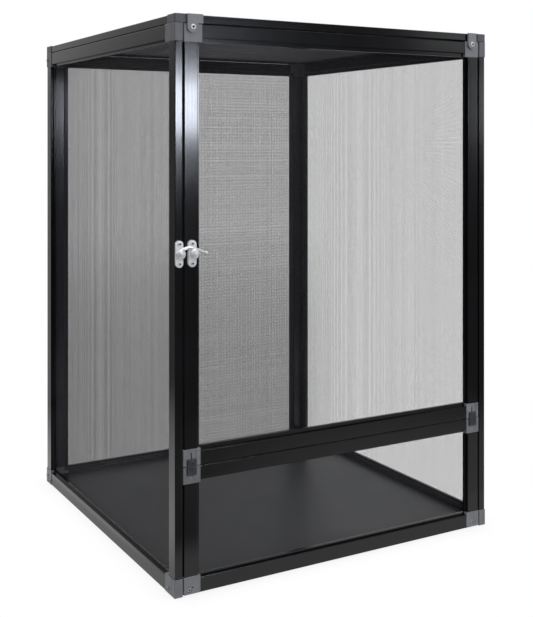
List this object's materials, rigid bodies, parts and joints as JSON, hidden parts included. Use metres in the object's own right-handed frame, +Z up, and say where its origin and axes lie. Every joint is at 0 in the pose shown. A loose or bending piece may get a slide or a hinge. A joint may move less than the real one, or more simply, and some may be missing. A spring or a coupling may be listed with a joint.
{
  "type": "reptile terrarium",
  "caption": "Tall screened reptile terrarium: black slotted frame, swinging upper door with hasp latch, drop-down lower door, solid floor.",
  "frame": {"origin": "centre of the overall box on the ground plane, latch and screw heads included", "axes": "+X to the right seen from the front, +Y from the doors to the back, +Z up"},
  "size_m": [0.499, 0.5174, 0.715],
  "materials": {
    "black_frame": "gloss black anodised extrusion",
    "bracket": "black painted sheet",
    "chrome": "bright plated",
    "corner_block": "moulded grey plastic, satin",
    "dark_screw": "blackened steel",
    "floor_board": "smooth dark sheet",
    "pin_steel": "plain steel",
    "screen": "fine black woven screen",
    "slide_pad": "matt black",
    "spline": "soft black cord",
    "stop_tab": "moulded grey plastic, satin"
  },
  "bodies": {
    "enclosure": {"left_front_stile": "black_frame", "left_rear_stile": "black_frame", "left_top_rail": "black_frame", "left_bottom_rail": "black_frame", "left_corner_blocks": "corner_block", "left_screen": "screen", "left_spline": "spline", "right_front_stile": "black_frame", "right_rear_stile": "black_frame", "right_top_rail": "black_frame", "right_bottom_rail": "black_frame", "right_corner_blocks": "corner_block", "right_screen": "screen", "right_spline": "spline", "back_left_stile": "black_frame", "back_right_stile": "black_frame", "back_top_rail": "black_frame", "back_bottom_rail": "black_frame", "back_corner_blocks": "corner_block", "back_screen": "screen", "back_spline": "spline", "lid_front_rail": "black_frame", "lid_rear_rail": "black_frame", "lid_left_rail": "black_frame", "lid_right_rail": "black_frame", "lid_corner_blocks": "corner_block", "lid_screen": "screen", "lid_spline": "spline", "floor_rails": "black_frame", "floor_corner_blocks": "corner_block", "floor_board": "floor_board", "panel_screws": "dark_screw", "seam_brackets": "bracket", "hinge_pins": "pin_steel", "flap_pivot_pins": "pin_steel", "latch_base": "chrome", "latch_rivet": "chrome", "latch_screws": "chrome"},
    "upper_door": {"door_latch_stile": "black_frame", "door_hinge_stile": "black_frame", "door_top_rail": "black_frame", "door_bottom_rail": "black_frame", "door_corner_blocks": "corner_block", "door_screen": "screen", "door_spline": "spline", "latch_catch": "chrome", "catch_screws": "chrome", "stop_tabs": "stop_tab", "tab_screws": "chrome"},
    "lower_door": {"flap_left_stile": "black_frame", "flap_right_stile": "black_frame", "flap_top_rail": "black_frame", "flap_bottom_rail": "black_frame", "flap_corner_blocks": "corner_block", "flap_screen": "screen", "flap_spline": "spline", "flap_screws": "dark_screw"},
    "latch_arm": {"latch_arm": "chrome"},
    "slide_left": {"left_slide_latch": "slide_pad"},
    "slide_right": {"right_slide_latch": "slide_pad"}
  },
  "joints": [
    {"name": "upper_door_hinge", "type": "hinge", "parent": "enclosure", "child": "upper_door", "pos_m": [0.233, -0.24275, 0.4], "axis": [0, 0, 1], "range_deg": [0, 95]},
    {"name": "lower_door_hinge", "type": "hinge", "parent": "enclosure", "child": "lower_door", "pos_m": [0, -0.24225, 0.005], "axis": [1, 0, 0], "range_deg": [0, 90]},
    {"name": "latch_arm_pivot", "type": "hinge", "parent": "enclosure", "child": "latch_arm", "pos_m": [-0.2426, -0.2525, 0.4205], "axis": [0, -1, 0], "range_deg": [0, 105]},
    {"name": "slide_left_travel", "type": "slide", "parent": "upper_door", "child": "slide_left", "axis": [0, 0, 1], "range_m": [0, 0.011]},
    {"name": "slide_right_travel", "type": "slide", "parent": "upper_door", "child": "slide_right", "axis": [0, 0, 1], "range_m": [0, 0.011]}
  ]
}
